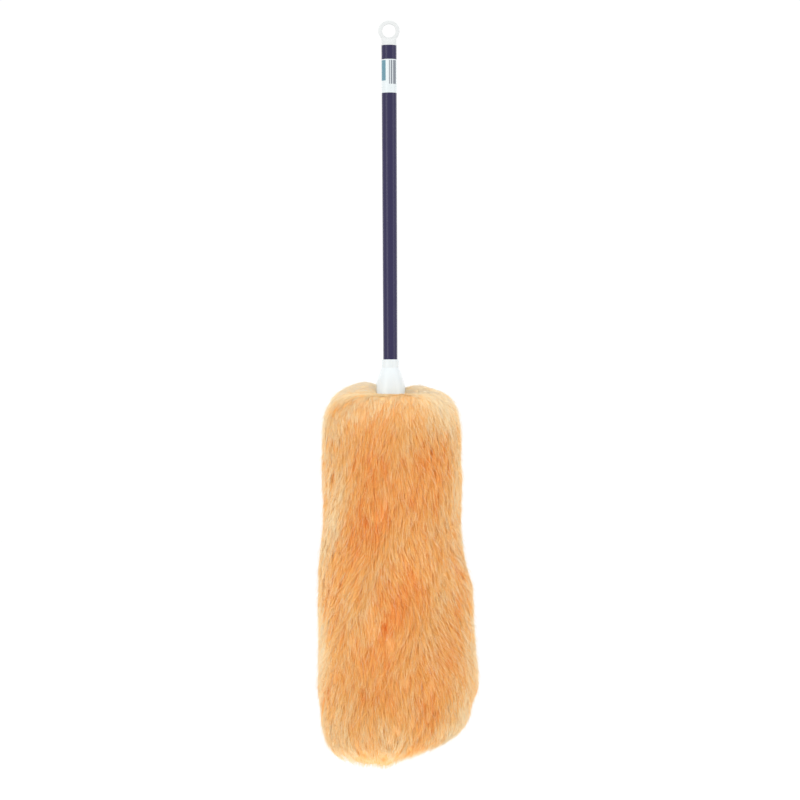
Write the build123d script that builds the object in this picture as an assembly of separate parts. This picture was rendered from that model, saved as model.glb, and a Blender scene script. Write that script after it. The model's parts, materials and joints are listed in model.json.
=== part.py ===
from build123d import *
import math
import os

# A lambswool duster on an extending twist-lock handle, closed and locked, as it hangs from its ring.
# Millimetres. The origin is the centre of the hang hole, whose axis is Y.
# The handle's axis is Z, with the ring at the top and the wool at the bottom.

# Hang cap: a flat ring on a neck, with a hollow plug in the top of the grip tube.
RING_OUTER_R = 12.75
HANG_HOLE_R = 8.0
RING_THICKNESS = 5.0
RING_EDGE_R = 1.6
HOLE_EDGE = 0.4
NECK_R = 8.95
NECK_TOP_Z = -8.7
NECK_ROUND_Z = -13.4
SHOULDER_TOP_Z = -15.4
SHOULDER_R = 9.1
PLUG_LENGTH = 16.0
PLUG_WALL = 1.6
PLUG_RIB = 1.4

# Grip tube: a plastic tube that tapers slightly on the outside and has a constant bore.
TUBE_TOP_Z = -17.5
TUBE_BOTTOM_Z = -400.0
TUBE_TOP_R = 9.05
TUBE_BOTTOM_R = 8.45
TUBE_BORE_R = 7.2
PLUG_GAP = 0.05

# Wrap-around label.
LABEL_TOP_Z = -34.3
LABEL_BOTTOM_Z = -74.2
LABEL_THICKNESS = 0.15

# Guide bush glued in the tube's mouth.
BUSH_LENGTH = 12.0
BUSH_LIP = 1.2
BUSH_LIP_R = 8.3
RUNNING_GAP = 0.05

# Inner rod, which carries the head.
ROD_R = 6.35
ROD_WALL = 0.6
ROD_TOP_Z = -57.7
ROD_BOTTOM_Z = -450.0

# Twist lock: a stud on the rod's plug drives a cone into a split sleeve that grips the tube's bore.
PLUG_FLANGE_R = 6.8
PLUG_FLANGE = 2.0
ROD_PLUG_BOTTOM_Z = -80.0
STUD_R = 2.5
STUD_TOP_Z = -36.2
STUD_HEAD_TOP_Z = -72.0
STUD_HEAD = 3.5
HEX_FLATS = 8.0
STOP_NUT_TOP_Z = -36.8
STOP_NUT = 2.4
SLEEVE_TOP_Z = -41.0
SLEEVE_BOTTOM_Z = -55.4
SLEEVE_HUB = 3.0
SLEEVE_MOUTH_R = 5.7
SLEEVE_THROAT_R = 3.9
SLOT_WIDTH = 1.4
FINGERS = 4
CONE_TOP_Z = -40.2
CONE_BOTTOM_Z = -48.0
CONE_GAP = 0.12
CONE_KEY_WIDTH = 1.2
CONE_KEY_R = 6.6
CONE_KEY_ROOT_R = 3.5

# Ferrule: a collar round the tube's end, a bell that covers the top of the wool, and a spigot in the core.
COLLAR_TOP_Z = -391.4
COLLAR_R = 10.25
COLLAR_BOTTOM_Z = -401.2
COLLAR_BORE_R = 8.8
COLLAR_FLOOR_Z = -401.8
COLLAR_EDGE_R = 0.5
BELL_MIDDLE = (15.0, -413.6)
BELL_BOTTOM = (19.0, -432.7)
BELL_WALL = 1.6
BOSS_WALL = 1.9
FIN_COUNT = 6
FIN_THICKNESS = 1.2
SPIGOT_BOTTOM_Z = -452.0

# Core tube that the wool is wound on, and what closes and fastens it.
CORE_R = 11.0
CORE_WALL = 1.5
CORE_TOP_Z = -425.0
CORE_BOTTOM_Z = -808.0
CORE_PLUG_LENGTH = 14.0
CORE_PLUG_FLANGE = 2.0
RIVET_Z = -429.5
RIVET_R = 1.5
RIVET_HEAD_R = 2.6
RIVET_HEAD = 0.8
RIVET_GAP = 0.05

# Sheepskin strip, wound edge to edge in a helix and trimmed square at both ends.
HIDE = 1.5
GLUE_LINE = 0.05
STRIP_TOP_Z = -434.0
STRIP_WIDTH = 44.5
STRIP_PITCH = 46.5

# Staples that hold the strip's two ends.
STAPLE_COUNT = 3
STAPLE_CROWN = 10.0
STAPLE_WIRE = 0.9
STAPLE_LEG = 3.6
STAPLE_INSET = 7.0

# Round sheepskin patch on the core's end, held by a tack.
PATCH_R = 12.0
TACK_SHANK_R = 0.9
TACK_SHANK = 9.0
TACK_HEAD_R = 3.5
TACK_HEAD = 0.8

# The wool's outer shape: height, sideways offset and radius at each station, from the top down.
WOOL_STATIONS = [
    (-420, 3, 36),
    (-428, 3, 57),
    (-441, 2, 73),
    (-465, 2, 82),
    (-511, 2, 84),
    (-560, 3, 83),
    (-610, 3, 85),
    (-655, 4, 90),
    (-705, 6, 94),
    (-765, 8, 96),
    (-800, 6, 93),
    (-833, 2, 82),
    (-857, -5, 60),
    (-870, -10, 36),
    (-876, -11, 18),
]
END_TUFT_LOW_R = 62.0
WOOL_GAP = 0.2
# How far a cutting solid goes past the end of what it cuts.
OVERSHOOT = 1.0


def tube(outer_r, inner_r, top_z, bottom_z):
    """A straight round tube on the Z axis, or a solid cylinder where inner_r is 0."""
    height = top_z - bottom_z
    middle = Pos(0, 0, (top_z + bottom_z) / 2)
    body = middle * Cylinder(outer_r, height)
    if inner_r:
        body -= middle * Cylinder(inner_r, height)
    return body


def turned(*corners):
    """A solid of revolution about Z, from (radius, height) corners."""
    outline = Polyline(*[(radius, 0, z) for radius, z in corners], close=True)
    return revolve(make_face(outline), Axis.Z)


def around(shape, count):
    """Equally spaced copies of a shape about the Z axis."""
    return [Rot(Z=360 * i / count) * shape for i in range(count)]


def tube_outer_r(z):
    """The grip tube's outer radius at a height."""
    share = (TUBE_TOP_Z - z) / (TUBE_TOP_Z - TUBE_BOTTOM_Z)
    return TUBE_TOP_R + (TUBE_BOTTOM_R - TUBE_TOP_R) * share


def hexagon(top_z, bottom_z):
    """A hexagonal prism on the Z axis, for nuts and bolt heads."""
    profile = RegularPolygon(HEX_FLATS / 2, 6, major_radius=False)
    return Pos(0, 0, bottom_z) * extrude(profile, top_z - bottom_z)


def hang_cap():
    eye = Rot(X=90) * Cylinder(RING_OUTER_R, RING_THICKNESS)
    eye = fillet(eye.edges().filter_by(GeomType.CIRCLE), RING_EDGE_R)
    neck_top = Plane.XY.offset(NECK_TOP_Z) * RectangleRounded(2 * NECK_R, RING_THICKNESS, RING_EDGE_R)
    neck_round = Plane.XY.offset(NECK_ROUND_Z) * Circle(NECK_R)
    neck = loft([neck_top, neck_round])
    neck += tube(NECK_R, 0, NECK_ROUND_Z, SHOULDER_TOP_Z)
    shoulder = tube(SHOULDER_R, 0, SHOULDER_TOP_Z, TUBE_TOP_Z)
    plug_bottom_z = TUBE_TOP_Z - PLUG_LENGTH
    plug_r = TUBE_BORE_R - PLUG_GAP
    plug = tube(plug_r, plug_r - PLUG_WALL, TUBE_TOP_Z, plug_bottom_z)
    rib_middle = Pos(0, 0, TUBE_TOP_Z - PLUG_LENGTH / 2)
    ribs = rib_middle * Box(2 * plug_r - PLUG_WALL, PLUG_RIB, PLUG_LENGTH)
    ribs += rib_middle * Box(PLUG_RIB, 2 * plug_r - PLUG_WALL, PLUG_LENGTH)
    cap = eye + neck + shoulder + plug + ribs
    return cap - Rot(X=90) * hang_hole()


def hang_hole():
    """The hang hole's void on the Z axis, with both of its edges eased."""
    face = RING_THICKNESS / 2
    wall = face - HOLE_EDGE
    return turned(
        (0, face),
        (HANG_HOLE_R + HOLE_EDGE, face),
        (HANG_HOLE_R, wall),
        (HANG_HOLE_R, -wall),
        (HANG_HOLE_R + HOLE_EDGE, -face),
        (0, -face),
    )


def grip_tube():
    return turned(
        (TUBE_BORE_R, TUBE_TOP_Z),
        (TUBE_TOP_R, TUBE_TOP_Z),
        (TUBE_BOTTOM_R, TUBE_BOTTOM_Z),
        (TUBE_BORE_R, TUBE_BOTTOM_Z),
    )


def product_label():
    top_r = tube_outer_r(LABEL_TOP_Z)
    bottom_r = tube_outer_r(LABEL_BOTTOM_Z)
    return turned(
        (top_r, LABEL_TOP_Z),
        (top_r + LABEL_THICKNESS, LABEL_TOP_Z),
        (bottom_r + LABEL_THICKNESS, LABEL_BOTTOM_Z),
        (bottom_r, LABEL_BOTTOM_Z),
    )


def mouth_bush():
    bore_r = ROD_R + RUNNING_GAP
    sleeve = tube(TUBE_BORE_R - PLUG_GAP, bore_r, TUBE_BOTTOM_Z + BUSH_LENGTH, TUBE_BOTTOM_Z)
    lip = tube(BUSH_LIP_R, bore_r, TUBE_BOTTOM_Z, TUBE_BOTTOM_Z - BUSH_LIP)
    return sleeve + lip


def expander_sleeve():
    outer_r = TUBE_BORE_R - RUNNING_GAP
    hub_top_z = SLEEVE_BOTTOM_Z + SLEEVE_HUB
    body = turned(
        (STUD_R + RUNNING_GAP, SLEEVE_BOTTOM_Z),
        (outer_r, SLEEVE_BOTTOM_Z),
        (outer_r, SLEEVE_TOP_Z),
        (SLEEVE_MOUTH_R, SLEEVE_TOP_Z),
        (SLEEVE_THROAT_R, hub_top_z),
        (STUD_R + RUNNING_GAP, hub_top_z),
    )
    slot_height = SLEEVE_TOP_Z - hub_top_z
    slot = Pos(outer_r, 0, hub_top_z + slot_height / 2) * Box(2 * outer_r, SLOT_WIDTH, slot_height)
    return body - around(slot, FINGERS)


def sleeve_taper_r(z):
    """The radius of the expander sleeve's tapered bore at a height, carried on above its mouth."""
    hub_top_z = SLEEVE_BOTTOM_Z + SLEEVE_HUB
    slope = (SLEEVE_MOUTH_R - SLEEVE_THROAT_R) / (SLEEVE_TOP_Z - hub_top_z)
    return SLEEVE_THROAT_R + slope * (z - hub_top_z)


def expander_cone():
    bore_r = STUD_R + RUNNING_GAP
    cone = turned(
        (bore_r, CONE_TOP_Z),
        (sleeve_taper_r(CONE_TOP_Z) - CONE_GAP, CONE_TOP_Z),
        (sleeve_taper_r(CONE_BOTTOM_Z) - CONE_GAP, CONE_BOTTOM_Z),
        (bore_r, CONE_BOTTOM_Z),
    )
    key_length = CONE_KEY_R - CONE_KEY_ROOT_R
    key_height = CONE_TOP_Z - CONE_BOTTOM_Z
    key = Pos(CONE_KEY_R - key_length / 2, 0, CONE_BOTTOM_Z + key_height / 2)
    return cone + around(key * Box(key_length, CONE_KEY_WIDTH, key_height), FINGERS)


def stop_nut():
    bottom_z = STOP_NUT_TOP_Z - STOP_NUT
    return hexagon(STOP_NUT_TOP_Z, bottom_z) - tube(STUD_R, 0, STOP_NUT_TOP_Z, bottom_z)


def lock_stud():
    shank = tube(STUD_R, 0, STUD_TOP_Z, STUD_HEAD_TOP_Z)
    return shank + hexagon(STUD_HEAD_TOP_Z, STUD_HEAD_TOP_Z - STUD_HEAD)


def rod_plug():
    body = tube(ROD_R - ROD_WALL - PLUG_GAP, 0, ROD_TOP_Z, ROD_PLUG_BOTTOM_Z)
    body += tube(PLUG_FLANGE_R, 0, ROD_TOP_Z + PLUG_FLANGE, ROD_TOP_Z)
    body -= tube(STUD_R, 0, ROD_TOP_Z + PLUG_FLANGE, STUD_HEAD_TOP_Z)
    return body - hexagon(STUD_HEAD_TOP_Z, ROD_PLUG_BOTTOM_Z)


def rivet_hole():
    """The cross hole for the rivet, through everything on the axis."""
    return Pos(0, 0, RIVET_Z) * Rot(Y=90) * Cylinder(RIVET_R + RIVET_GAP, 4 * CORE_R)


def inner_rod():
    return tube(ROD_R, ROD_R - ROD_WALL, ROD_TOP_Z, ROD_BOTTOM_Z) - rivet_hole()


def bell_curve(inset):
    """The bell's flare as an arc through three points, drawn inset from the outer face."""
    start = (COLLAR_R - inset, 0, COLLAR_BOTTOM_Z - inset)
    middle = (BELL_MIDDLE[0] - inset, 0, BELL_MIDDLE[1] - inset / 2)
    end = (BELL_BOTTOM[0] - inset, 0, BELL_BOTTOM[1])
    return ThreePointArc(start, middle, end)


def ferrule():
    outer = bell_curve(0)
    collar = Polyline((0, 0, BELL_BOTTOM[1]), (0, 0, COLLAR_TOP_Z), (COLLAR_R, 0, COLLAR_TOP_Z), outer @ 0)
    body = revolve(make_face(collar + outer + Line(outer @ 1, (0, 0, BELL_BOTTOM[1]))), Axis.Z)
    rim = body.edges().filter_by(GeomType.CIRCLE).sort_by(Axis.Z)[-1]
    body = fillet(rim, COLLAR_EDGE_R)
    inner = bell_curve(BELL_WALL)
    web_z = (inner @ 0).Z
    hollow_sides = Polyline(inner @ 1, (0, 0, BELL_BOTTOM[1]), (0, 0, web_z), inner @ 0)
    body -= revolve(make_face(hollow_sides + inner), Axis.Z)
    boss_r = ROD_R + BOSS_WALL
    body += tube(boss_r, 0, web_z, CORE_TOP_Z)
    fin_width = BELL_BOTTOM[0]
    fin_height = web_z - CORE_TOP_Z
    fin = Pos(fin_width / 2, 0, web_z - fin_height / 2) * Box(fin_width, FIN_THICKNESS, fin_height)
    envelope = revolve(make_face(hollow_sides + inner), Axis.Z)
    for blade in around(fin, FIN_COUNT):
        body += blade & envelope
    body += tube(CORE_R - CORE_WALL - PLUG_GAP, 0, CORE_TOP_Z, SPIGOT_BOTTOM_Z)
    body -= tube(COLLAR_BORE_R, 0, COLLAR_TOP_Z, COLLAR_FLOOR_Z)
    body -= tube(ROD_R + PLUG_GAP, 0, COLLAR_TOP_Z, ROD_BOTTOM_Z)
    return body - rivet_hole()


def core_rivet():
    shank = Rot(Y=90) * Cylinder(RIVET_R, 2 * CORE_R)
    head = Rot(Y=90) * Cylinder(RIVET_HEAD_R, RIVET_HEAD)
    reach = CORE_R + RIVET_HEAD / 2
    return Pos(0, 0, RIVET_Z) * (shank + Pos(reach, 0, 0) * head + Pos(-reach, 0, 0) * head)


def core_tube():
    return tube(CORE_R, CORE_R - CORE_WALL, CORE_TOP_Z, CORE_BOTTOM_Z) - rivet_hole()


def tack_head_top_z():
    """The height of the patch's outer face, which the tack's head lies on."""
    return CORE_BOTTOM_Z - CORE_PLUG_FLANGE - HIDE


def core_end_plug():
    body = tube(CORE_R - CORE_WALL - PLUG_GAP, 0, CORE_BOTTOM_Z + CORE_PLUG_LENGTH, CORE_BOTTOM_Z)
    body += tube(CORE_R, 0, CORE_BOTTOM_Z, CORE_BOTTOM_Z - CORE_PLUG_FLANGE)
    return body - tube(TACK_SHANK_R, 0, tack_head_top_z() + TACK_SHANK, tack_head_top_z())


def end_patch():
    top_z = CORE_BOTTOM_Z - CORE_PLUG_FLANGE
    return tube(PATCH_R, TACK_SHANK_R, top_z, top_z - HIDE)


def end_patch_tack():
    top_z = tack_head_top_z()
    shank = tube(TACK_SHANK_R, 0, top_z + TACK_SHANK, top_z)
    return shank + tube(TACK_HEAD_R, 0, top_z, top_z - TACK_HEAD)


def strip_face_r():
    """The radius of the wound strip's outer face, which the wool grows from."""
    return CORE_R + GLUE_LINE + HIDE


def sheepskin_strip():
    turns = (STRIP_TOP_Z - CORE_BOTTOM_Z) / STRIP_PITCH + 1
    middle_r = CORE_R + GLUE_LINE + HIDE / 2
    start_z = CORE_BOTTOM_Z - STRIP_PITCH / 2
    path = Pos(0, 0, start_z) * Helix(STRIP_PITCH, turns * STRIP_PITCH, middle_r)
    section_plane = Plane(origin=(middle_r, 0, start_z), x_dir=(1, 0, 0), z_dir=(0, 1, 0))
    section = section_plane * Rectangle(HIDE, STRIP_WIDTH)
    winding = sweep(section, path, is_frenet=True)
    return winding & tube(2 * CORE_R, 0, STRIP_TOP_Z, CORE_BOTTOM_Z)


def staples(middle_z):
    """A ring of wire staples, each with its crown along the handle and its legs through the hide."""
    face_r = strip_face_r()
    crown = Pos(face_r + STAPLE_WIRE / 2, 0, middle_z) * Box(STAPLE_WIRE, STAPLE_WIRE, STAPLE_CROWN)
    leg_reach = (STAPLE_CROWN - STAPLE_WIRE) / 2
    leg = Box(STAPLE_LEG, STAPLE_WIRE, STAPLE_WIRE)
    staple = crown
    for side in (1, -1):
        staple += Pos(face_r + STAPLE_WIRE - STAPLE_LEG / 2, 0, middle_z + side * leg_reach) * leg
    return Compound(children=around(staple, STAPLE_COUNT))


def strip_staples_upper():
    return staples(STRIP_TOP_Z - STAPLE_INSET)


def strip_staples_lower():
    return staples(CORE_BOTTOM_Z + STAPLE_INSET)


def wool_body():
    """The whole wool head as one smooth solid."""
    return loft([Plane(origin=(x, 0, z)) * Circle(radius) for z, x, radius in WOOL_STATIONS])


def end_tuft_space():
    """The widening space below the patch, which holds the wool that grows from it."""
    top_z = tack_head_top_z() - WOOL_GAP
    bottom_z = WOOL_STATIONS[-1][0] - OVERSHOOT
    return turned((0, top_z), (PATCH_R, top_z), (END_TUFT_LOW_R, bottom_z), (0, bottom_z))


def wool_pile():
    body = wool_body() - end_tuft_space()
    body -= tube(strip_face_r() + STAPLE_WIRE + WOOL_GAP, 0, STRIP_TOP_Z, tack_head_top_z() - WOOL_GAP)
    bell = bell_curve(-WOOL_GAP)
    sides = Polyline(bell @ 1, (0, 0, (bell @ 1).Z), (0, 0, (bell @ 0).Z), bell @ 0)
    body -= revolve(make_face(sides + bell), Axis.Z)
    return body - tube(BELL_BOTTOM[0] + WOOL_GAP, 0, BELL_BOTTOM[1], STRIP_TOP_Z)


def wool_end_tuft():
    head = tube(TACK_HEAD_R + WOOL_GAP, 0, tack_head_top_z(), tack_head_top_z() - TACK_HEAD - WOOL_GAP)
    return (wool_body() & end_tuft_space()) - head


PIECES = [
    hang_cap,
    grip_tube,
    product_label,
    mouth_bush,
    expander_sleeve,
    expander_cone,
    stop_nut,
    lock_stud,
    rod_plug,
    inner_rod,
    ferrule,
    core_rivet,
    core_tube,
    core_end_plug,
    sheepskin_strip,
    strip_staples_upper,
    strip_staples_lower,
    end_patch,
    end_patch_tack,
    wool_pile,
    wool_end_tuft,
]

os.makedirs("parts", exist_ok=True)
for piece in PIECES:
    export_step(piece(), f"parts/{piece.__name__}.step")
    print("wrote", piece.__name__)
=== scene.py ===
import json
import math

import bpy
import numpy as np
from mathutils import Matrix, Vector
from mathutils.bvhtree import BVHTree


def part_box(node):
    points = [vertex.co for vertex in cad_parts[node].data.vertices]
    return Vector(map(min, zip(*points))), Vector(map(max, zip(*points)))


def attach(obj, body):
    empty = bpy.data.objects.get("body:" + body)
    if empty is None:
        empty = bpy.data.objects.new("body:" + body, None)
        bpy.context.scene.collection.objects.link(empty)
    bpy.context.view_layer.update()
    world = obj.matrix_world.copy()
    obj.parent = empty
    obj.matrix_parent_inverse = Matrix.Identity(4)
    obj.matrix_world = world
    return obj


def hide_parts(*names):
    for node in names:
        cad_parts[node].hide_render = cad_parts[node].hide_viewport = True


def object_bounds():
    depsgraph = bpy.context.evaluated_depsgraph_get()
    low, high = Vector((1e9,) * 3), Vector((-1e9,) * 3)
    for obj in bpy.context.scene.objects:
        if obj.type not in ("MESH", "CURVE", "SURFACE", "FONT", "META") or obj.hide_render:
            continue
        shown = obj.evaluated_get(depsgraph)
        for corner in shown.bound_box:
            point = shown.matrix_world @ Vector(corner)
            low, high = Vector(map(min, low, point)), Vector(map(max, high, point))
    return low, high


# A lambswool duster that hangs from its ring. Metres, Z up, in the CAD model's frame.
# The handle's parts keep their CAD shapes. The wool is built here, lock by lock.

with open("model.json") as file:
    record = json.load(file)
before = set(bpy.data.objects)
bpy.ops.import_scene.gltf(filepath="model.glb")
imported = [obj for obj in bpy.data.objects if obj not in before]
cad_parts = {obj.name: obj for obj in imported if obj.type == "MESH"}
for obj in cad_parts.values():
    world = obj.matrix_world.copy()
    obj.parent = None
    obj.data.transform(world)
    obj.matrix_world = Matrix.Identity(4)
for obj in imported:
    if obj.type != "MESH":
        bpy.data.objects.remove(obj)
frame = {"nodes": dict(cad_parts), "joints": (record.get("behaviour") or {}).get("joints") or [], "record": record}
cad_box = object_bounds()
nodes = frame["nodes"]
MM = 0.001
rng = np.random.default_rng(20)


# ---------------------------------------------------------------- materials

def new_material(name):
    """A node material, the function that links its sockets, one that adds nodes, and its shader."""
    material = bpy.data.materials.new(name)
    material.use_nodes = True
    tree = material.node_tree
    shader = tree.nodes["Principled BSDF"]

    def add(kind, **settings):
        node = tree.nodes.new(kind)
        for key, value in settings.items():
            if key in node.inputs:
                node.inputs[key].default_value = value
            else:
                setattr(node, key, value)
        return node

    return material, tree.links.new, add, shader


def set_sockets(shader, **values):
    """Sets the shader's sockets to constant values. An underscore stands for a space in a socket's name."""
    for key, value in values.items():
        shader.inputs[key.replace("_", " ")].default_value = value


def colour(red, green, blue):
    """A linear colour from the 0 to 255 values that a paint chart gives."""
    def linear(value):
        value /= 255
        return value / 12.92 if value <= 0.04045 else ((value + 0.055) / 1.055) ** 2.4
    return linear(red), linear(green), linear(blue), 1.0


def surface_place(link, add, stretch):
    """Object coordinates, scaled by stretch, for a pattern that stays on the piece."""
    where = add("ShaderNodeTexCoord")
    mapping = add("ShaderNodeMapping", Scale=stretch)
    link(where.outputs["Object"], mapping.inputs["Vector"])
    return mapping.outputs["Vector"]


def mixed_colour(link, add, factor, first, second):
    """The first colour where the factor is 0, and the second where it is 1."""
    mix = add("ShaderNodeMix", data_type="RGBA")
    link(factor, mix.inputs["Factor"])
    mix.inputs["A"].default_value = first
    mix.inputs["B"].default_value = second
    return mix.outputs["Result"]


def add_bump(link, add, shader, height, strength, distance):
    """Relief on the shader's surface from a 0 to 1 height. The distance is in metres."""
    bump = add("ShaderNodeBump", Strength=strength, Distance=distance)
    link(height, bump.inputs["Height"])
    link(bump.outputs["Normal"], shader.inputs["Normal"])


def ranged(link, add, value, low, high):
    """A 0 to 1 value brought between low and high."""
    span = add("ShaderNodeMapRange")
    link(value, span.inputs["Value"])
    span.inputs["To Min"].default_value = low
    span.inputs["To Max"].default_value = high
    return span.outputs["Result"]


def moulded_plastic(name, light, dark, roughness, grain=900.0, stretch=(1, 1, 1), gloss=0.5):
    """Moulded or extruded plastic: faint mottling, and gloss broken up by handling."""
    material, link, add, shader = new_material(name)
    place = surface_place(link, add, stretch)
    mottle = add("ShaderNodeTexNoise", Scale=60.0, Detail=4.0)
    link(place, mottle.inputs["Vector"])
    link(mixed_colour(link, add, mottle.outputs["Fac"], light, dark), shader.inputs["Base Color"])
    fine = add("ShaderNodeTexNoise", Scale=grain, Detail=3.0)
    link(place, fine.inputs["Vector"])
    handled = ranged(link, add, mottle.outputs["Fac"], roughness - 0.06, roughness + 0.1)
    link(handled, shader.inputs["Roughness"])
    add_bump(link, add, shader, fine.outputs["Fac"], strength=0.08, distance=0.2 * MM)
    set_sockets(shader, Specular_IOR_Level=gloss)
    return material


def tube_plastic():
    """Dark plum-navy extruded tube with faint draw lines along it."""
    return moulded_plastic(
        "tube_plastic", colour(45, 41, 76), colour(34, 30, 61), 0.26,
        grain=1500.0, stretch=(1, 1, 0.03), gloss=0.25)


def metal(name, tone, roughness, stretch):
    """Drawn or plated metal, with fine lines along its stretch."""
    material, link, add, shader = new_material(name)
    place = surface_place(link, add, stretch)
    lines = add("ShaderNodeTexNoise", Scale=1200.0, Detail=2.0)
    link(place, lines.inputs["Vector"])
    darker = tuple(0.86 * band for band in tone[:3]) + (1.0,)
    link(mixed_colour(link, add, lines.outputs["Fac"], tone, darker), shader.inputs["Base Color"])
    drawn = ranged(link, add, lines.outputs["Fac"], roughness - 0.08, roughness + 0.1)
    link(drawn, shader.inputs["Roughness"])
    add_bump(link, add, shader, lines.outputs["Fac"], strength=0.15, distance=0.1 * MM)
    set_sockets(shader, Metallic=1.0)
    return material


def hide():
    """Raw sheepskin: pored, with its tone mottled lighter and darker."""
    material, link, add, shader = new_material("hide")
    place = surface_place(link, add, (1, 1, 1))
    pores = add("ShaderNodeTexVoronoi", Scale=700.0)
    tone_mottle = add("ShaderNodeTexNoise", Scale=90.0, Detail=6.0)
    link(place, pores.inputs["Vector"])
    link(place, tone_mottle.inputs["Vector"])
    tone = mixed_colour(link, add, tone_mottle.outputs["Fac"], colour(214, 158, 104), colour(190, 128, 78))
    link(tone, shader.inputs["Base Color"])
    add_bump(link, add, shader, pores.outputs["Distance"], strength=0.3, distance=0.4 * MM)
    set_sockets(shader, Roughness=0.75)
    return material


# The label's print: margins as shares of the label's height, and turns in degrees from the front.
PRINT_HEAD = 0.03
BARS_FOOT = 0.26
BLOCK_FOOT = 0.36
BLOCK_TURN = (-75.0, -26.0)
BARS_TURN = (-12.0, 62.0)
BARS_PER_DEGREE = 0.16


def label_paper():
    """A coated white label with a block of teal and plain bars that run along the tube."""
    material, link, add, shader = new_material("label_paper")
    low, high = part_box("product_label")
    height = high.z - low.z
    print_top = high.z - PRINT_HEAD * height
    where = add("ShaderNodeTexCoord")
    parts = add("ShaderNodeSeparateXYZ")
    link(where.outputs["Object"], parts.inputs["Vector"])

    def maths(operation, first, second=None):
        node = add("ShaderNodeMath", operation=operation)
        for socket, value in zip(node.inputs, (first, second)):
            if value is None:
                continue
            if hasattr(value, "is_linked"):
                link(value, socket)
            else:
                socket.default_value = value
        return node.outputs["Value"]

    def between(value, start, end):
        return maths("MULTIPLY", maths("GREATER_THAN", value, start), maths("LESS_THAN", value, end))

    back = maths("MULTIPLY", parts.outputs["Y"], -1.0)
    turn = maths("ARCTAN2", parts.outputs["X"], back)
    across = maths("MULTIPLY", turn, 180 / math.pi)
    printed = between(parts.outputs["Z"], low.z + BARS_FOOT * height, print_top)
    short = between(parts.outputs["Z"], low.z + BLOCK_FOOT * height, print_top)
    teal = maths("MULTIPLY", short, between(across, *BLOCK_TURN))
    step = maths("FLOOR", maths("MULTIPLY", across, BARS_PER_DEGREE))
    chance = add("ShaderNodeTexWhiteNoise", noise_dimensions="1D")
    link(step, chance.inputs["W"])
    dark_bar = maths("MULTIPLY", maths("GREATER_THAN", chance.outputs["Value"], 0.5), printed)
    bars = maths("MULTIPLY", dark_bar, between(across, *BARS_TURN))
    paper = mixed_colour(link, add, teal, (0.57, 0.615, 0.625, 1.0), colour(86, 128, 142))
    mix = add("ShaderNodeMix", data_type="RGBA")
    link(bars, mix.inputs["Factor"])
    link(paper, mix.inputs["A"])
    mix.inputs["B"].default_value = colour(112, 118, 126)
    link(mix.outputs["Result"], shader.inputs["Base Color"])
    fibre = add("ShaderNodeTexNoise", Scale=2500.0, Detail=2.0)
    link(where.outputs["Object"], fibre.inputs["Vector"])
    add_bump(link, add, shader, fibre.outputs["Fac"], strength=0.05, distance=0.1 * MM)
    set_sockets(shader, Roughness=0.38)
    return material


# ---------------------------------------------------------------- the handle and what is inside

def dress_cad_nodes():
    """Gives each CAD node its finished material."""
    white = moulded_plastic(
        "cap_plastic", (0.585, 0.60, 0.595, 1.0), (0.555, 0.57, 0.57, 1.0), 0.36)
    ferrule_white = moulded_plastic(
        "ferrule_plastic", (0.645, 0.69, 0.71, 1.0), (0.615, 0.66, 0.68, 1.0), 0.34)
    natural = moulded_plastic("bush_plastic", colour(226, 225, 220), colour(214, 212, 206), 0.5)
    lock = moulded_plastic("lock_plastic", colour(205, 204, 198), colour(190, 189, 183), 0.48)
    core = moulded_plastic("core_plastic", colour(215, 211, 200), colour(200, 196, 184), 0.55)
    steel = metal("plated_steel", (0.62, 0.62, 0.61, 1.0), 0.34, (1, 1, 1))
    rod = metal("rod_metal", (0.44, 0.45, 0.47, 1.0), 0.3, (1, 1, 0.02))
    skin = hide()
    by_slot = {
        "cap_plastic": white,
        "tube_plastic": tube_plastic(),
        "label_paper": label_paper(),
        "bush_plastic": natural,
        "lock_plastic": lock,
        "plated_steel": steel,
        "rod_metal": rod,
        "ferrule_plastic": ferrule_white,
        "core_plastic": core,
        "hide": skin,
        "wool": skin,       # never seen, since the strands replace the plain wool
    }
    for entry in frame["record"]["subparts"]:
        node = nodes[entry["node"]]
        for slot in node.material_slots:
            slot.link = "OBJECT"
            slot.material = by_slot[entry["material_slot"]]


# ---------------------------------------------------------------- the wool's form

# The grid of the wool's surface: columns around, and rows over the top, down the side and over the end.
AROUND = 96
TOP_ROWS, SIDE_ROWS, END_ROWS = 14, 56, 22
TURNS = 2 * math.pi * np.arange(AROUND) / AROUND
TOP_ANGLE = math.radians(70)
CAP_DEPTH = 60 * MM
POLE_SHARE = 0.995      # keeps the last row off the axis
RAY_START = 0.5         # further out than any of the wool
TUCKED_ROWS = 3

# Where the wool is fuller (+) or thinner (-) than a round body, in mm at heights in mm.
LEFT_LINE = (
    (-420, 3), (-445, 0), (-460, 1.5), (-500, -2), (-535, -2), (-592, 0), (-650, 0),
    (-726, -2), (-783, 2.5), (-805, -0.5), (-840, 1), (-876, 0),
)
RIGHT_LINE = (
    (-420, 1), (-465, -4), (-500, -2), (-535, 3), (-590, -7), (-635, -5), (-665, 1.5),
    (-690, 1), (-745, -5), (-783, -3), (-802, -6), (-825, 0), (-876, -1),
)


def wool_tree():
    """The CAD wool's faces, as one tree to cast rays at."""
    corners, faces = [], []
    for name in ("wool_pile", "wool_end_tuft"):
        mesh = nodes[name].data
        start = len(corners)
        corners += [v.co.copy() for v in mesh.vertices]
        faces += [[start + i for i in p.vertices] for p in mesh.polygons]
    return BVHTree.FromPolygons(corners, faces)


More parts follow.
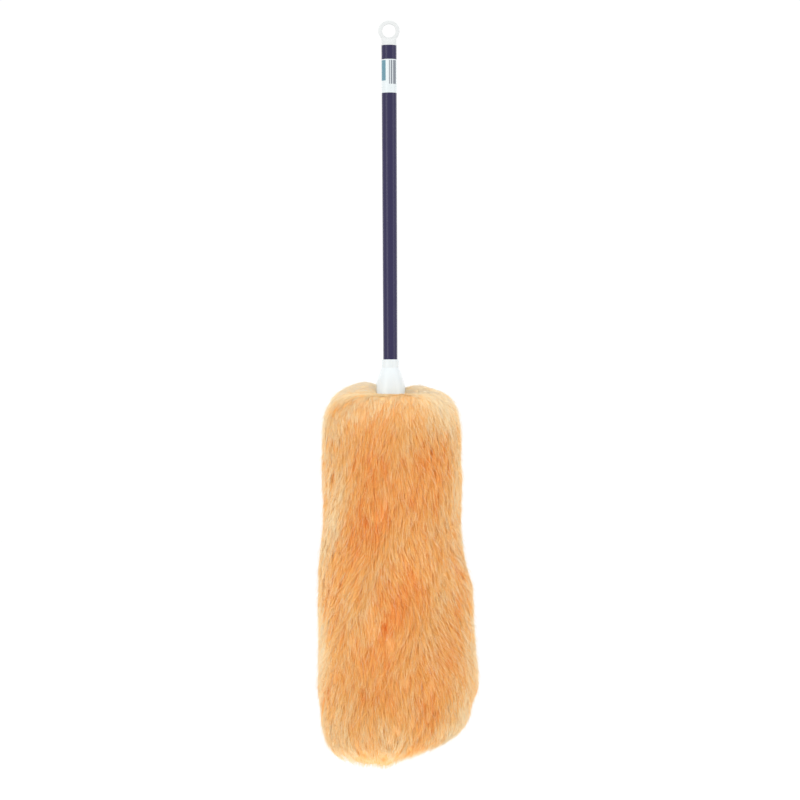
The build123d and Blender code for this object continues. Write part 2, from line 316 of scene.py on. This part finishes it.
def ray_rows(top_z, end_z):
    """Each row's point on the wool's axis and its angle above level, from the top row to the end."""
    rows = []
    for i in range(TOP_ROWS):
        rows.append((top_z - CAP_DEPTH, TOP_ANGLE * (1 - i / TOP_ROWS)))
    for i in range(SIDE_ROWS):
        share = i / SIDE_ROWS
        rows.append((top_z - CAP_DEPTH + share * (end_z + 2 * CAP_DEPTH - top_z), 0.0))
    for i in range(END_ROWS + 1):
        rows.append((end_z + CAP_DEPTH, -0.5 * math.pi * i / END_ROWS * POLE_SHARE))
    return rows


def outer_grid():
    """Points of the wool's outer surface: rows from the ferrule to the end, columns around."""
    tree = wool_tree()
    top_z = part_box("wool_pile")[1].z
    end_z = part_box("wool_end_tuft")[0].z
    grid = np.zeros((TOP_ROWS + SIDE_ROWS + END_ROWS + 1, AROUND, 3))
    for row, (z, rise) in enumerate(ray_rows(top_z, end_z)):
        for column, turn in enumerate(TURNS):
            out = Vector((
                math.sin(turn) * math.cos(rise),
                -math.cos(turn) * math.cos(rise),
                math.sin(rise),
            ))
            centre = Vector((0, 0, z))
            grid[row, column] = tree.ray_cast(centre + out * RAY_START, -out)[0]
    return tucked(dipped(grid, top_z))


def smooth_step(value, start, end):
    """0 before start, 1 after end, and an even curve between."""
    share = np.clip((value - start) / (end - start), 0, 1)
    return share * share * (3 - 2 * share)


def settled(row, least, start, end):
    """A share that grows from least beside the ferrule to 1 further down, between two rows."""
    return least + (1 - least) * smooth_step(row, start, end)


def rim_height():
    """The height of the ferrule's rim, which is its widest place."""
    widest = max(nodes["ferrule"].data.vertices, key=lambda v: v.co.x ** 2 + v.co.y ** 2)
    return widest.co.z


# How the wool's top is pressed down. The depths are below its top, where the dip fades in, and the other
# bands are distances from the axis, where each dip fades out.
DIP_DEPTHS = (60 * MM, 5 * MM)
DIP_BESIDE_BAND = (20 * MM, 30 * MM)
DIP_BEFORE_BAND = (26 * MM, 84 * MM)
DIP_RIGHT_BAND = (50 * MM, 80 * MM)
DIP_RIGHT, DIP_RIM_RIGHT, DIP_RIM_LEFT = 0.25, 0.5, 0.35
DIP_BELOW_RIM = 1.0 * MM


def dipped(grid, top_z):
    """Lowers the top around the ferrule's rim, most before and behind it, which leaves two shoulders."""
    reach = np.hypot(grid[:, :, 0], grid[:, :, 1])
    at_top = smooth_step(grid[:, :, 2], top_z - DIP_DEPTHS[0], top_z - DIP_DEPTHS[1])
    at_rim = np.where(np.sin(TURNS) > 0, DIP_RIM_RIGHT, DIP_RIM_LEFT)[None, :]
    beside = at_rim * (1 - smooth_step(reach, *DIP_BESIDE_BAND))
    before = 1 - smooth_step(reach, *DIP_BEFORE_BAND)
    right = DIP_RIGHT * np.clip(np.sin(TURNS), 0, 1)[None, :] * (1 - smooth_step(reach, *DIP_RIGHT_BAND))
    forward = smooth_step(np.abs(np.cos(TURNS)), 0.15, 0.6)[None, :]
    dip = np.maximum(beside, right) * (1 - forward) + before * forward
    grid[:, :, 2] -= (top_z - rim_height() + DIP_BELOW_RIM) * at_top * dip
    return grid


def tucked(grid):
    """Adds rows that turn in under the ferrule's rim."""
    extra = []
    for step in range(TUCKED_ROWS, 0, -1):
        row = grid[0] * (1 - 0.1 * step)
        row[:, 2] = grid[0][:, 2] - 0.3 * step * MM
        extra.append(row)
    return np.concatenate((np.array(extra), grid))


def waves(count, around_range, along_range, seed):
    """Random waves that close around the wool: how many fit around, along, their phase and weight."""
    source = np.random.default_rng(seed)
    across = source.integers(around_range[0], around_range[1] + 1, count)
    along = source.uniform(along_range[0], along_range[1], count) * source.choice((-1, 1), count)
    phase = source.uniform(0, 2 * math.pi, count)
    weight = source.uniform(0.5, 1.0, count)
    return across, along, phase, weight / math.sqrt(0.5 * (weight ** 2).sum())


def ripple(turn, z, wave):
    """The sum of the waves at an angle and height: about 0, with a spread of about 1."""
    across, along, phase, weight = wave
    angle = np.multiply.outer(turn, across) + np.multiply.outer(z, along) + phase
    return (np.sin(angle) * weight).sum(-1)


# The wool's form, the sway of its flow, and the streaks and patches of its colour. The streaks' deepest orange is
# painted shade of the partings between locks.
LUMPS = waves(14, (1, 5), (8, 60), seed=3)
SWIRL = waves(12, (1, 5), (10, 50), seed=4)
STREAKS = waves(30, (7, 24), (25, 110), seed=5)
PATCHES = waves(16, (2, 7), (15, 60), seed=6)

# Bands in metres below the hang hole: where the lumps fade in, and where the lower end leans.
LUMPS_START = (0.43, 0.47)
END_BAND = (0.83, 0.876)
LUMP_HEIGHT = 1.6       # mm
END_LEFT, END_UP = 4 * MM, 2 * MM

GOLDEN_TURN = math.pi * (3 - math.sqrt(5))
LEAST_STEP = 0.6 * MM   # stands in for the grid's steps where its rows meet at the end


class WoolForm:
    """The wool's outer surface, as a smooth function of turn and row."""

    def __init__(self):
        smooth = self.smoothed(outer_grid())
        round_way, down = self.steps(smooth)
        self.normal = np.cross(round_way, -down)
        self.normal /= np.linalg.norm(self.normal, axis=2, keepdims=True)
        self.grid = smooth + self.normal * self.fullness(smooth[:, :, 2])[:, :, None] * MM
        lowness = smooth_step(-self.grid[:, :, 2], *END_BAND)
        self.grid[:, :, 0] -= END_LEFT * lowness
        self.grid[:, :, 2] += END_UP * lowness
        self.rows = len(self.grid)
        self.round_way, self.down = self.steps(self.grid)
        self.row_area = np.linalg.norm(np.cross(self.round_way, self.down), axis=2).mean(1)

    @staticmethod
    def smoothed(grid):
        """The grid with its points drawn twice towards the mean of their neighbours."""
        for _ in range(2):
            inner = 0.25 * (np.roll(grid, 1, 1) + np.roll(grid, -1, 1)) + 0.5 * grid
            inner[1:-1] = 0.25 * (inner[:-2] + inner[2:]) + 0.5 * inner[1:-1]
            grid = inner
        return grid

    @staticmethod
    def steps(grid):
        """The steps from each point to the next, round the wool and down it."""
        return 0.5 * (np.roll(grid, -1, 1) - np.roll(grid, 1, 1)), np.gradient(grid, axis=0)

    @staticmethod
    def fullness(z):
        """How far the wool stands out past a round body at each point, in mm."""
        lump = LUMP_HEIGHT * ripple(TURNS[None, :] + 0 * z, z, LUMPS) * smooth_step(-z, *LUMPS_START)
        for line, side in ((LEFT_LINE, -1), (RIGHT_LINE, 1)):
            heights, amounts = np.array(line[::-1]).T
            lump = lump + np.interp(z / MM, heights, amounts) * np.clip(side * np.sin(TURNS), 0, 1) ** 2
        return lump

    def sample(self, field, turn, row):
        """The value of a grid field at any turn and row."""
        row = np.clip(row, 0, self.rows - 1.001)
        column = (turn / (2 * math.pi) * AROUND) % AROUND
        above, before = row.astype(int), column.astype(int) % AROUND
        below, after = above + 1, (before + 1) % AROUND
        down, across = (row - above)[:, None], (column - np.floor(column))[:, None]
        upper = field[above, before] * (1 - across) + field[above, after] * across
        lower = field[below, before] * (1 - across) + field[below, after] * across
        return upper * (1 - down) + lower * down

    def place(self, turn, row):
        """Point, unit way round, unit way down, unit normal and the two step lengths."""
        point = self.sample(self.grid, turn, row)
        round_way = self.sample(self.round_way, turn, row)
        down = self.sample(self.down, turn, row)
        normal = self.sample(self.normal, turn, row)
        round_step = np.maximum(np.linalg.norm(round_way, axis=1), LEAST_STEP)
        down_step = np.maximum(np.linalg.norm(down, axis=1), LEAST_STEP)
        round_way = round_way / round_step[:, None]
        down = down / down_step[:, None]
        normal = normal / np.linalg.norm(normal, axis=1)[:, None]
        return point, round_way, down, normal, round_step, down_step

    def scattered(self, count):
        """Random places over the surface, as turns and rows: even, but closer together near the ferrule."""
        index = np.arange(self.rows)
        crowding = 1.9 - 0.9 * smooth_step(index, 8, 26)
        weight = self.row_area * crowding
        total = np.cumsum(weight) / weight.sum()
        row = np.interp((np.arange(count) + rng.uniform(0, 1, count)) / count, total, index)
        turn = GOLDEN_TURN * np.arange(count) + rng.uniform(0, 2 * math.pi)
        order = rng.permutation(count)
        return turn[order] % (2 * math.pi), row[order]


def flow_angle(turn, point):
    """How far the fibres lean round from straight down. They fan out towards the lower end."""
    top_z, end_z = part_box("wool_pile")[1].z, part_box("wool_end_tuft")[0].z
    lowness = np.clip((top_z - point[:, 2]) / (top_z - end_z), 0, 1)
    fan = np.interp(lowness, (0.0, 0.3, 0.6, 0.8, 1.0), (0.0, 0.04, 0.3, 0.34, 0.1))
    side = 0.55 * np.sin(turn) + 0.45 * np.sin(2 * turn)
    return fan * np.where(side > 0, side, 0.4 * side) + 0.12 * ripple(turn, point[:, 2], SWIRL)


# ---------------------------------------------------------------- strands

# The places along a strand, from root to tip: distances from the tip as shares of the strand's length,
# and radii as shares of its own.
STEPS = np.array((1.0, 0.6, 0.26, 0.0))
TAPER = np.array((0.9, 1.0, 0.7, 0.0))
SWAY = 0.16     # the spread of the paths' own lean, in radians


def strand_paths(form, turn, row, length, root_depth, lift):
    """Each path's places from root to tip, as arrays [path, place]: a point and its local directions."""
    count = len(turn)
    points = np.zeros((count, len(STEPS), 3))
    sway = rng.normal(0, SWAY, count)
    rounds = np.zeros_like(points)
    downs = np.zeros_like(points)
    normals = np.zeros_like(points)
    at_turn, at_row = turn.copy(), row.copy()
    for spot in reversed(range(len(STEPS))):
        point, round_way, down, normal, round_step, down_step = form.place(at_turn, at_row)
        depth = root_depth * STEPS[spot] ** 1.35 - lift * (1 - STEPS[spot]) ** 2
        points[:, spot] = point - normal * depth[:, None]
        rounds[:, spot], downs[:, spot], normals[:, spot] = round_way, down, normal
        if spot:
            lean = flow_angle(at_turn, point) + sway
            step = length * (STEPS[spot - 1] - STEPS[spot])
            at_turn = at_turn - step * np.sin(lean) / round_step * 2 * math.pi / AROUND
            at_row = at_row - step * np.cos(lean) / down_step
    hang_free(points, length, -normals[:, -1, 2])
    return points, rounds, downs, normals


def hang_free(points, length, downward):
    """Turns the paths of the lower end to hang straight down to their tips, as a brush's end does."""
    tips = points[:, -1:]
    inward = 1 - 0.25 * STEPS
    hanging = tips * np.stack((inward, inward, np.ones_like(STEPS)), 1)[None]
    hanging[:, :, 2] += length[:, None] * STEPS[None] * 0.9
    share = smooth_step(downward, 0.85, 1.0)[:, None, None]
    points += (hanging - points) * share


def strand_points(paths, radii):
    """Each strand's corners: three around each place but the tip, and the tip."""
    rings = paths.shape[1] - 1
    along = np.gradient(paths, axis=1)
    along /= np.maximum(np.linalg.norm(along, axis=2, keepdims=True), 1e-9)
    helper = np.where(np.abs(along[:, :, 2:3]) > 0.9, (1.0, 0.0, 0.0), (0.0, 0.0, 1.0))
    side = np.cross(along, helper)
    side /= np.linalg.norm(side, axis=2, keepdims=True)
    other = np.cross(along, side)
    corners = []
    for corner in range(3):
        angle = 2 * math.pi * corner / 3
        spoke = math.cos(angle) * side + math.sin(angle) * other
        corners.append(paths[:, :rings] + spoke[:, :rings] * radii[:, :rings, None])
    ring_points = np.stack(corners, axis=2).reshape(len(paths), rings * 3, 3)
    return np.concatenate((ring_points, paths[:, -1:]), axis=1)


def strand_faces(rings):
    """One closed strand's triangles, and the ring that each one takes its shade from."""
    faces, ring_of_face = [(0, 2, 1)], [0]
    for ring in range(rings - 1):
        for corner in range(3):
            here, beside = ring * 3 + corner, ring * 3 + (corner + 1) % 3
            faces += [(here, beside, beside + 3), (here, beside + 3, here + 3)]
            ring_of_face += [ring, ring]
    for corner in range(3):
        faces.append(((rings - 1) * 3 + corner, (rings - 1) * 3 + (corner + 1) % 3, rings * 3))
        ring_of_face.append(rings - 1)
    return np.array(faces), np.array(ring_of_face)


def strand_mesh(name, paths, radii, tones, materials):
    """Closed tapered three-sided strands as one mesh. tones gives the shade of each of their stretches."""
    vertices = strand_points(paths, radii)
    count, per_strand = vertices.shape[:2]
    faces, ring_of_face = strand_faces(paths.shape[1] - 1)
    corners_of = (faces[None] + (np.arange(count) * per_strand)[:, None, None]).reshape(-1)
    mesh = bpy.data.meshes.new(name)
    mesh.vertices.add(count * per_strand)
    mesh.vertices.foreach_set("co", vertices.astype(np.float32).ravel())
    mesh.loops.add(len(corners_of))
    mesh.loops.foreach_set("vertex_index", corners_of.astype(np.int32))
    mesh.polygons.add(count * len(faces))
    mesh.polygons.foreach_set("loop_start", (np.arange(count * len(faces)) * 3).astype(np.int32))
    shade = np.clip(np.rint(tones[:, ring_of_face]), 0, len(materials) - 1)
    mesh.polygons.foreach_set("material_index", shade.astype(np.int32).ravel())
    mesh.polygons.foreach_set("use_smooth", np.zeros(count * len(faces), bool))
    for material in materials:
        mesh.materials.append(material)
    mesh.update(calc_edges=True)
    mesh.validate()
    piece = bpy.data.objects.new(name, mesh)
    bpy.context.scene.collection.objects.link(piece)
    return piece


# The dyed wool's reflectance at some of its shades, from the deep orange at the roots to the cream tips. The last,
# the tips' cream, also holds painted light and shade for the outline.
SHADE_COUNT = 11
SHADE_STOPS = (0, 4, 8, 10)
STOP_COLOURS = (
    (0.90, 0.27, 0.05),
    (0.965, 0.57, 0.18),
    (0.94, 0.795, 0.53),
    # Painted light: this tip colour is darker and greyer than the pale one, painted shade where light falls off at
    # the outline and a painted glow through the fibres there.
    (0.81, 0.71, 0.56),
)


def wool_shade(number):
    """The colour of one of the shades, 0 the deepest."""
    return tuple(float(np.interp(number, SHADE_STOPS, band)) for band in zip(*STOP_COLOURS)) + (1.0,)


def wool_materials():
    """The wool's shades, one matt material each."""
    materials = []
    for number in range(SHADE_COUNT):
        material, _, _, shader = new_material(f"wool_shade_{number}")
        set_sockets(shader, Base_Color=wool_shade(number), Roughness=0.85, Specular_IOR_Level=0.08)
        materials.append(material)
    return materials


LOCKS = 8400
STRANDS_PER_LOCK = 10
PIECES = 7
HALO_PIECES = 2
HALO_STRANDS = 12000

# Lowest and highest values in mm: a strand's length, its root's depth, its tip's lift and its radius.
LOCK_LENGTH, HALO_LENGTH = (24, 48), (16, 30)
LOCK_ROOT, HALO_ROOT = (5.5, 9), (4, 9)
LOCK_LIFT, HALO_LIFT = (-0.5, 2.0), (1.0, 7.0)
LOCK_RADIUS, HALO_RADIUS = (0.15, 0.27), (0.08, 0.15)

# How strands part from their path, as spreads in mm. The strays grow towards the tips.
SPREAD_ROUND, SPREAD_DOWN, SPREAD_OUT = 2.6, 5.0, 0.8
STRAY, CRIMP, HALO_STRAY = 2.0, 0.6, 3.5

# Shades, on the scale of wool_shade: the usual one, and what each stretch adds from root to tip.
LOCK_TONE, LOCK_FADE = 3.5, (-1.0, 0.0, 1.1)
HALO_TONE, HALO_FADE = 5.5, (0.0, 1.5, 3.0)

# Painted light: heights towards the wool's top, and depths towards its end, in metres, where it is painted paler
# as a glow of light through its fibres at the outline. The flanks add shades of the same painted glow.
PAINTED_GLOW_TOP = (-0.52, -0.42)
PAINTED_GLOW_END = (0.79, 0.875)
PAINTED_GLOW_LEFT, PAINTED_GLOW_RIGHT = 2.6, 2.2


def lock_tones(turn, row, z):
    """Each lock's shade: paler at the top, the end and the flanks (painted glow of light through the fibres at the
    outline) and next to the ferrule (painted light lifting the shade under its rim); deeper in streaks and
    patches, the streaks' deepest orange being painted shade of the partings.
    """
    count = len(turn)
    # Painted light: paler towards the top and the end of the outline, a painted glow of light through the fibres,
    # and paler next to the ferrule, painted light that lifts the shade under its rim.
    painted_light_ends = 2.4 * smooth_step(z, *PAINTED_GLOW_TOP) + 2.0 * smooth_step(-z, *PAINTED_GLOW_END)
    painted_light_ends += 1.6 * (1 - smooth_step(row, 6, 15))
    # Painted light: the flanks painted paler, a glow of light through the fibres at the outline.
    painted_flank_glow = np.where(np.sin(turn) < 0, PAINTED_GLOW_LEFT, PAINTED_GLOW_RIGHT) * np.sin(turn) ** 4
    painted_flank_glow = painted_flank_glow * rng.uniform(0.2, 1.8, count)
    streak = ripple(turn, z, STREAKS)
    # Painted shade: where the streaks peak, the deepest orange stands in for the shade in the partings between
    # locks.
    painted_parting_shade = np.clip(streak - 1.0, 0, 0.9)
    patch = ripple(turn, z, PATCHES)
    return LOCK_TONE + 0.6 * streak - 3.4 * painted_parting_shade + 0.5 * patch + painted_light_ends + painted_flank_glow + rng.normal(0, 0.4, count)


def lock_strands(form, count):
    """Paths, radii and tones of the strands of count locks."""
    turn, row = form.scattered(count)
    length = rng.uniform(*LOCK_LENGTH, count) * MM
    root_depth = rng.uniform(*LOCK_ROOT, count) * MM * settled(row, 0.25, 2, 16)
    lift = rng.uniform(*LOCK_LIFT, count) * MM * settled(row, 0.5, 4, 14)
    points, rounds, downs, normals = strand_paths(form, turn, row, length, root_depth, lift)
    tone = lock_tones(turn, row, points[:, -1, 2])
    lock = np.repeat(np.arange(count), STRANDS_PER_LOCK)
    strands = len(lock)
    spread = (0.45 + 0.55 * STEPS)[None, :, None]
    stray = rng.normal(0, STRAY, strands)[:, None, None] * MM * (1 - STEPS)[None, :, None]
    offset_round = rng.normal(0, SPREAD_ROUND, strands)[:, None, None] * MM
    offset_down = rng.normal(0, SPREAD_DOWN, strands)[:, None, None] * MM
    offset_out = rng.normal(0, SPREAD_OUT, strands)[:, None, None] * MM
    crimp = rng.normal(0, CRIMP, (2, strands, len(STEPS), 1)) * MM
    paths = points[lock] + rounds[lock] * (offset_round * spread + crimp[0] + stray)
    paths += downs[lock] * offset_down * spread + normals[lock] * (offset_out * spread + 0.6 * crimp[1])
    radii = rng.uniform(*LOCK_RADIUS, strands)[:, None] * MM * TAPER[None]
    tones = tone[lock][:, None] + np.array(LOCK_FADE)[None] + rng.normal(0, 0.8, strands)[:, None]
    return paths, radii, tones


def halo_strands(form, count):
    """Fine pale fibres that stand out and soften the wool's outline, most of them at its flanks."""
    turn, row = form.scattered(3 * count)
    wanted = rng.uniform(0, 1, 3 * count) < 0.3 + 0.7 * np.sin(turn) ** 2
    kept = np.flatnonzero(wanted)[:count]
    turn, row = turn[kept], row[kept]
    length = rng.uniform(*HALO_LENGTH, count) * MM
    root_depth = rng.uniform(*HALO_ROOT, count) * MM * settled(row, 0.25, 2, 16)
    lift = rng.uniform(*HALO_LIFT, count) * MM * settled(row, 0.0, 2, 14)
    points, rounds, _, _ = strand_paths(form, turn, row, length, root_depth, lift)
    stray = rng.normal(0, HALO_STRAY, count)[:, None, None] * MM * (1 - STEPS)[None, :, None] ** 1.5
    paths = points + rounds * stray
    radii = rng.uniform(*HALO_RADIUS, count)[:, None] * MM * TAPER[None]
    tones = HALO_TONE + np.array(HALO_FADE)[None] + rng.normal(0, 0.6, count)[:, None]
    # Painted light: the halo's flanks painted paler, a glow of light through the fibres at the outline.
    tones += 1.5 * np.sin(turn)[:, None] ** 4
    return paths, radii, tones


UNDERCOAT_DEPTH = 4.4 * MM
# Painted light: the band where the undercoat is painted paler, lifting the shade in the gaps under the ferrule's
# rim.
UNDERCOAT_PAINTED_LIFT_DEPTHS = (50 * MM, 8 * MM)   # below the ferrule's rim


def undercoat_material():
    """The dense wool between the locks: deep orange, streaked along the flow, and painted paler towards the
    ferrule's rim, painted light that lifts the shade in the gaps under it.
    """
    material, link, add, shader = new_material("wool_undercoat")
    place = surface_place(link, add, (1, 1, 0.12))
    streak = add("ShaderNodeTexNoise", Scale=420.0, Detail=6.0, Roughness=0.65)
    link(place, streak.inputs["Vector"])
    body = mixed_colour(link, add, streak.outputs["Fac"], wool_shade(2), wool_shade(5))
    height = add("ShaderNodeSeparateXYZ")
    link(add("ShaderNodeTexCoord").outputs["Object"], height.inputs["Vector"])
    # Painted light: paler towards the ferrule's rim, lifting the shade in the gaps under it.
    painted_lift_near_rim = add("ShaderNodeMapRange")
    link(height.outputs["Z"], painted_lift_near_rim.inputs["Value"])
    painted_lift_near_rim.inputs["From Min"].default_value = rim_height() - UNDERCOAT_PAINTED_LIFT_DEPTHS[0]
    painted_lift_near_rim.inputs["From Max"].default_value = rim_height() - UNDERCOAT_PAINTED_LIFT_DEPTHS[1]
    mix = add("ShaderNodeMix", data_type="RGBA")
    link(painted_lift_near_rim.outputs["Result"], mix.inputs["Factor"])
    link(body, mix.inputs["A"])
    mix.inputs["B"].default_value = wool_shade(6)
    link(mix.outputs["Result"], shader.inputs["Base Color"])
    add_bump(link, add, shader, streak.outputs["Fac"], strength=0.5, distance=2 * MM)
    set_sockets(shader, Roughness=0.9, Specular_IOR_Level=0.05)
    return material


def undercoat(form):
    """A closed body under the locks, which nothing shows through. It is shallower near the ferrule."""
    rows, columns = form.rows, AROUND
    depth = UNDERCOAT_DEPTH * settled(np.arange(rows), 0.2, 6, 20)
    points = form.grid - form.normal * depth[:, None, None]
    top = tuple(points[0].mean(0))
    end = tuple(points[-1].mean(0))
    vertices = [tuple(p) for p in points.reshape(-1, 3)] + [top, end]
    faces = []
    for row in range(rows - 1):
        for column in range(columns):
            here = row * columns + column
            beside = row * columns + (column + 1) % columns
            faces.append((here, here + columns, beside + columns, beside))
    last = (rows - 1) * columns
    for column in range(columns):
        beside = (column + 1) % columns
        faces.append((column, beside, rows * columns))
        faces.append((last + beside, last + column, rows * columns + 1))
    mesh = bpy.data.meshes.new("wool_undercoat")
    mesh.from_pydata(vertices, [], faces)
    mesh.polygons.foreach_set("use_smooth", [True] * len(faces))
    mesh.materials.append(undercoat_material())
    mesh.update()
    piece = bpy.data.objects.new("wool_undercoat", mesh)
    bpy.context.scene.collection.objects.link(piece)
    return piece


def wool():
    """The whole wool head, in pieces that ride with the head and stand for the plain CAD wool."""
    form = WoolForm()
    shades = wool_materials()
    made = [undercoat(form)]
    for number in range(PIECES):
        paths, radii, tones = lock_strands(form, LOCKS // PIECES)
        made.append(strand_mesh(f"wool_locks_{number + 1}", paths, radii, tones, shades))
    for number in range(HALO_PIECES):
        paths, radii, tones = halo_strands(form, HALO_STRANDS // HALO_PIECES)
        made.append(strand_mesh(f"wool_halo_{number + 1}", paths, radii, tones, shades))
    for piece in made:
        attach(piece, "head")
        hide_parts("wool_pile", "wool_end_tuft")


# ---------------------------------------------------------------- floor, light and camera

FLOOR_HALF_WIDTH = 14.0
FLOOR_GAP = 80 * MM


def floor():
    """A plain pale floor, lower than the wool when the handle is drawn right out."""
    travel = next(j["range_m"][1] for j in frame["joints"] if j["name"] == "extend")
    z = cad_box[0].z - travel - FLOOR_GAP
    half = FLOOR_HALF_WIDTH
    corners = [(-half, -half, z), (half, -half, z), (half, half, z), (-half, half, z)]
    mesh = bpy.data.meshes.new("floor")
    mesh.from_pydata(corners, [], [(0, 1, 2, 3)])
    material, _, _, shader = new_material("floor")
    set_sockets(shader, Base_Color=(0.98, 0.98, 0.98, 1.0), Roughness=0.9)
    mesh.materials.append(material)
    plane = bpy.data.objects.new("floor", mesh)
    bpy.context.scene.collection.objects.link(plane)


def area_light(name, place, target, size, power):
    """A soft box that faces its target."""
    light = bpy.data.lights.new(name, "AREA")
    light.shape = "RECTANGLE"
    light.size, light.size_y = size
    light.energy = power
    lamp = bpy.data.objects.new(name, light)
    lamp.location = place
    lamp.rotation_euler = (Vector(target) - Vector(place)).to_track_quat("-Z", "Y").to_euler()
    bpy.context.scene.collection.objects.link(lamp)


# Each soft box: its name, its place and size in metres, and its watts.
SOFT_BOXES = (
    ("soft_left", (-1.5, -1.6, 0.1), (0.8, 1.8), 15),
    ("soft_right", (1.9, -0.9, 0.0), (0.6, 1.8), 9),
    ("rim_left", (-1.3, 1.5, -0.5), (0.4, 1.6), 3),
    ("rim_right", (1.3, 1.5, -0.5), (0.4, 1.6), 3),
    ("soft_top", (0.0, -0.4, 1.6), (1.6, 1.6), 13),
)
WORLD_STRENGTH = 1.04


def lighting():
    """A white studio with soft boxes to the left and right, overhead and behind."""
    world = bpy.data.worlds.new("studio")
    world.use_nodes = True
    world.node_tree.nodes["Background"].inputs["Color"].default_value = (1.0, 1.0, 1.0, 1.0)
    world.node_tree.nodes["Background"].inputs["Strength"].default_value = WORLD_STRENGTH
    bpy.context.scene.world = world
    middle = (cad_box[0] + cad_box[1]) / 2
    for name, place, size, power in SOFT_BOXES:
        area_light(name, place, middle, size, power)
    bpy.context.scene.view_settings.view_transform = "Standard"
    bpy.context.scene.view_settings.look = "None"


CAMERA_DISTANCE = 3.4
CAMERA_RIGHT, CAMERA_BELOW_MIDDLE = 11.3 * MM, 8 * MM
CAMERA_ROLL = math.radians(0.25)
SENSOR_WIDTH = 36.0
VIEW_HEIGHTS = 1.072    # the height of the view, in the duster's own heights


def camera():
    """Level and square to the ring, near the middle of the duster's height."""
    low, high = cad_box
    view_height = (high.z - low.z) * VIEW_HEIGHTS
    data = bpy.data.cameras.new("camera")
    data.sensor_width = SENSOR_WIDTH
    data.lens = SENSOR_WIDTH * CAMERA_DISTANCE / view_height
    eye = bpy.data.objects.new("camera", data)
    eye.location = (CAMERA_RIGHT, -CAMERA_DISTANCE, (low.z + high.z) / 2 - CAMERA_BELOW_MIDDLE)
    eye.rotation_euler = (math.radians(90), CAMERA_ROLL, 0)
    bpy.context.scene.collection.objects.link(eye)
    bpy.context.scene.camera = eye


camera()
lighting()
floor()
dress_cad_nodes()
wool()
